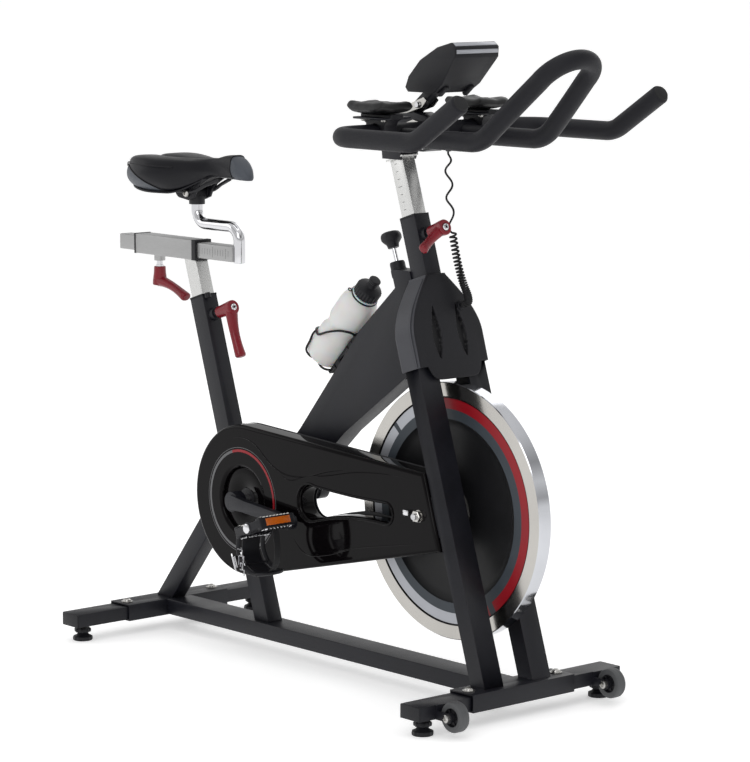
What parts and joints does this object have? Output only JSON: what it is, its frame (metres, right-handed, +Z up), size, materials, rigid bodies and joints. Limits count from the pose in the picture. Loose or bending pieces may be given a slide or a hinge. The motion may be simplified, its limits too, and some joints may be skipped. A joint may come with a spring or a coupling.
{
  "type": "exercise bike",
  "caption": "Indoor cycling bike with a front flywheel, belt guard, adjustable saddle and handlebars, console and bottle.",
  "frame": {"origin": "middle of the bike's footprint, on the floor", "axes": "+X forward, towards the handlebar's tips; +Y to the rider's left; +Z up"},
  "size_m": [1.296, 0.508, 1.18],
  "materials": {
    "frame_paint": "satin black powder coat",
    "chrome": "polished",
    "zinc": "bright zinc",
    "moulded_black": "fine texture",
    "gloss_black": "glossy",
    "rubber": "matt",
    "foam_grip": "soft dipped coating",
    "red_plastic": "satin",
    "cast_wheel": "machined rim, painted disc",
    "crank_paint": "satin",
    "translucent_white": "milky",
    "upholstery": "synthetic leather on foam",
    "silver_trim": "silver paint",
    "bearing_steel": "ground"
  },
  "bodies": {
    "frame": {"main_beam": "frame_paint", "foot_sleeves": "frame_paint", "foot_tubes": "frame_paint", "foot_end_caps": "moulded_black", "foot_bolts": "zinc", "seat_tube": "frame_paint", "rear_strut": "frame_paint", "down_tube": "frame_paint", "head_tube": "frame_paint", "fork_legs": "frame_paint", "head_shroud": "moulded_black", "wheel_axles": "zinc", "guard_outer": "gloss_black", "guard_inner": "moulded_black", "flywheel_axle": "zinc", "axle_nuts": "zinc", "bottle_cage": "moulded_black", "drive_belt": "rubber", "cord_socket": "moulded_black", "curly_cord": "rubber", "crank_bearings": "bearing_steel"},
    "foot_rear_right": {"levelling_foot_rear_right": "rubber"},
    "foot_rear_left": {"levelling_foot_rear_left": "rubber"},
    "foot_front_right": {"levelling_foot_front_right": "rubber"},
    "foot_front_left": {"levelling_foot_front_left": "rubber"},
    "wheel_right": {"transport_wheel_right": "rubber"},
    "wheel_left": {"transport_wheel_left": "rubber"},
    "seat_column": {"seat_post": "chrome", "slider_sleeve": "chrome", "slider_bushings": "moulded_black"},
    "slider": {"slider_post": "chrome", "saddle_clamp": "frame_paint"},
    "saddle": {"saddle_base": "moulded_black", "saddle_cushion": "upholstery"},
    "slider_lever": {"slider_lever": "red_plastic"},
    "seat_lever": {"seat_lever": "red_plastic"},
    "head_lever": {"head_lever": "red_plastic"},
    "handlebars": {"handlebar_post": "chrome", "handlebar_stem": "frame_paint", "handlebar": "foam_grip", "handlebar_loop": "foam_grip", "elbow_cradles": "frame_paint", "elbow_pads": "upholstery", "console": "moulded_black", "cord_plug": "moulded_black"},
    "button_right": {"console_button_right": "red_plastic"},
    "button_left": {"console_button_left": "red_plastic"},
    "brake_stem": {"brake_collar": "zinc"},
    "brake_knob": {"brake_knob": "moulded_black"},
    "brake_pad": {"brake_pad": "rubber"},
    "flywheel": {"flywheel": "cast_wheel", "flywheel_pulley": "silver_trim", "flywheel_bearings": "bearing_steel"},
    "cranks": {"crank_axle": "bearing_steel", "crank_arms": "crank_paint", "crank_pulley": "moulded_black"},
    "pedal_right": {"pedal_right": "moulded_black"},
    "pedal_left": {"pedal_left": "moulded_black"},
    "bottle": {"bottle": "translucent_white", "bottle_cap": "moulded_black"}
  },
  "joints": [
    {"name": "foot_rear_right_turn", "type": "hinge", "parent": "frame", "child": "foot_rear_right", "pos_m": [-0.514, -0.214, 0.02], "axis": [0, 0, 1], "range_deg": [-180, 180]},
    {"name": "foot_rear_left_turn", "type": "hinge", "parent": "frame", "child": "foot_rear_left", "pos_m": [-0.514, 0.214, 0.02], "axis": [0, 0, 1], "range_deg": [-180, 180]},
    {"name": "foot_front_right_turn", "type": "hinge", "parent": "frame", "child": "foot_front_right", "pos_m": [0.476, -0.214, 0.02], "axis": [0, 0, 1], "range_deg": [-180, 180]},
    {"name": "foot_front_left_turn", "type": "hinge", "parent": "frame", "child": "foot_front_left", "pos_m": [0.476, 0.214, 0.02], "axis": [0, 0, 1], "range_deg": [-180, 180]},
    {"name": "wheel_right_spin", "type": "hinge", "parent": "frame", "child": "wheel_right", "pos_m": [0.533, -0.19, 0.038], "axis": [0, 1, 0], "continuous": true},
    {"name": "wheel_left_spin", "type": "hinge", "parent": "frame", "child": "wheel_left", "pos_m": [0.533, 0.19, 0.038], "axis": [0, 1, 0], "continuous": true},
    {"name": "seat_height", "type": "slide", "parent": "frame", "child": "seat_column", "axis": [-0.3049, 0, 0.9524], "range_m": [-0.06, 0.12]},
    {"name": "seat_slide", "type": "slide", "parent": "seat_column", "child": "slider", "axis": [1, 0, 0], "range_m": [-0.09, 0.05]},
    {"name": "saddle_tilt", "type": "hinge", "parent": "slider", "child": "saddle", "pos_m": [-0.416, 0, 0.868], "axis": [0, 1, 0], "range_deg": [-12, 12]},
    {"name": "slider_lever_turn", "type": "hinge", "parent": "seat_column", "child": "slider_lever", "pos_m": [-0.536, 0, 0.7], "axis": [0, 0, 1], "range_deg": [-90, 90]},
    {"name": "seat_lever_turn", "type": "hinge", "parent": "frame", "child": "seat_lever", "pos_m": [-0.34804, 0, 0.64119], "axis": [0.9524, 0, 0.3049], "range_deg": [-90, 90]},
    {"name": "head_lever_turn", "type": "hinge", "parent": "frame", "child": "head_lever", "pos_m": [0.26294, 0, 0.8412], "axis": [0.9524, 0, 0.3049], "range_deg": [-90, 90]},
    {"name": "handlebar_height", "type": "slide", "parent": "frame", "child": "handlebars", "axis": [-0.3049, 0, 0.9524], "range_m": [-0.08, 0.08], "deforming": ["curly_cord"]},
    {"name": "button_right_press", "type": "slide", "parent": "handlebars", "child": "button_right", "axis": [0.6494, 0, -0.7604], "range_m": [0, 0.002], "stiffness_N_per_m": 300},
    {"name": "button_left_press", "type": "slide", "parent": "handlebars", "child": "button_left", "axis": [0.6494, 0, -0.7604], "range_m": [0, 0.002], "stiffness_N_per_m": 300},
    {"name": "brake_push", "type": "slide", "parent": "frame", "child": "brake_stem", "axis": [0.3406, 0, -0.9402], "range_m": [0, 0.0035], "stiffness_N_per_m": 800},
    {"name": "brake_turn", "type": "hinge", "parent": "brake_stem", "child": "brake_knob", "pos_m": [0.153, 0, 0.818], "axis": [0.3406, 0, -0.9402], "range_deg": [0, 720]},
    {"name": "brake_feed", "type": "slide", "parent": "brake_stem", "child": "brake_pad", "axis": [0.3406, 0, -0.9402], "range_m": [0, 0.0025]},
    {"name": "flywheel_spin", "type": "hinge", "parent": "frame", "child": "flywheel", "pos_m": [0.324, 0, 0.346], "axis": [0, 1, 0], "continuous": true},
    {"name": "crank_spin", "type": "hinge", "parent": "frame", "child": "cranks", "pos_m": [-0.174, 0, 0.307], "axis": [0, 1, 0], "continuous": true},
    {"name": "pedal_right_spin", "type": "hinge", "parent": "cranks", "child": "pedal_right", "pos_m": [-0.00465, -0.168, 0.29218], "axis": [0, 1, 0], "continuous": true},
    {"name": "pedal_left_spin", "type": "hinge", "parent": "cranks", "child": "pedal_left", "pos_m": [-0.34335, 0.168, 0.32182], "axis": [0, 1, 0], "continuous": true},
    {"name": "bottle_lift", "type": "slide", "parent": "frame", "child": "bottle", "axis": [0.6947, 0, 0.7193], "range_m": [0, 0.05]}
  ],
  "couplings": [
    {"joint": "crank_spin", "follows": "flywheel_spin", "ratio": 0.26667},
    {"joint": "brake_feed", "follows": "brake_turn", "m_per_rad": 0.00019894}
  ]
}
